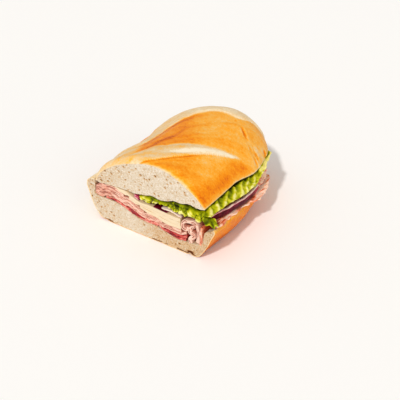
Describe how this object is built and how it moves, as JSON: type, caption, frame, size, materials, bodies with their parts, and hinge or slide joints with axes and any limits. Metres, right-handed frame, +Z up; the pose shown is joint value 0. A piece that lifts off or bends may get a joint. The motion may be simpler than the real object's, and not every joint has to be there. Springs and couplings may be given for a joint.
{
  "type": "submarine sandwich",
  "caption": "Half of a filled submarine roll, cut straight across, with ham, cured meat, cheese, red onion and lettuce coming out on its open side.",
  "frame": {"origin": "on the flat base, under the middle of the half roll", "axes": "+Z up, +Y along the roll from the cut face to the heel, +X towards the open side where the filling comes out"},
  "size_m": [0.119, 0.1315, 0.0656],
  "materials": {
    "bread": "baked wheat crust, golden brown over pale scored bands, with a soft open crumb on the cut face",
    "ham": "moist thin-sliced cooked ham",
    "cured_meat": "deep red cured meat with pale flecks of fat",
    "cheese": "smooth pale cream sliced cheese",
    "red_onion": "raw red onion, dark purple skin over white and lilac flesh",
    "lettuce": "crisp green leaf lettuce with pale ribs"
  },
  "bodies": {
    "root": {"roll_top": "bread", "roll_bottom": "bread", "cured_meat_1": "cured_meat", "cured_meat_2": "cured_meat", "cured_meat_3": "cured_meat", "ham_slice_1": "ham", "ham_slice_2": "ham", "ham_slice_3": "ham", "ham_slice_4": "ham", "ham_slice_5": "ham", "ham_slice_6": "ham", "ham_slice_7": "ham", "ham_slice_8": "ham", "ham_slice_9": "ham", "ham_slice_10": "ham", "cheese_slice_1": "cheese", "cheese_slice_2": "cheese", "cheese_slice_3": "cheese", "onion_slice_1": "red_onion", "onion_slice_2": "red_onion", "onion_slice_3": "red_onion", "onion_slice_4": "red_onion", "lettuce_leaf_1": "lettuce", "lettuce_leaf_2": "lettuce", "lettuce_leaf_3": "lettuce", "lettuce_leaf_4": "lettuce"}
  },
  "joints": []
}
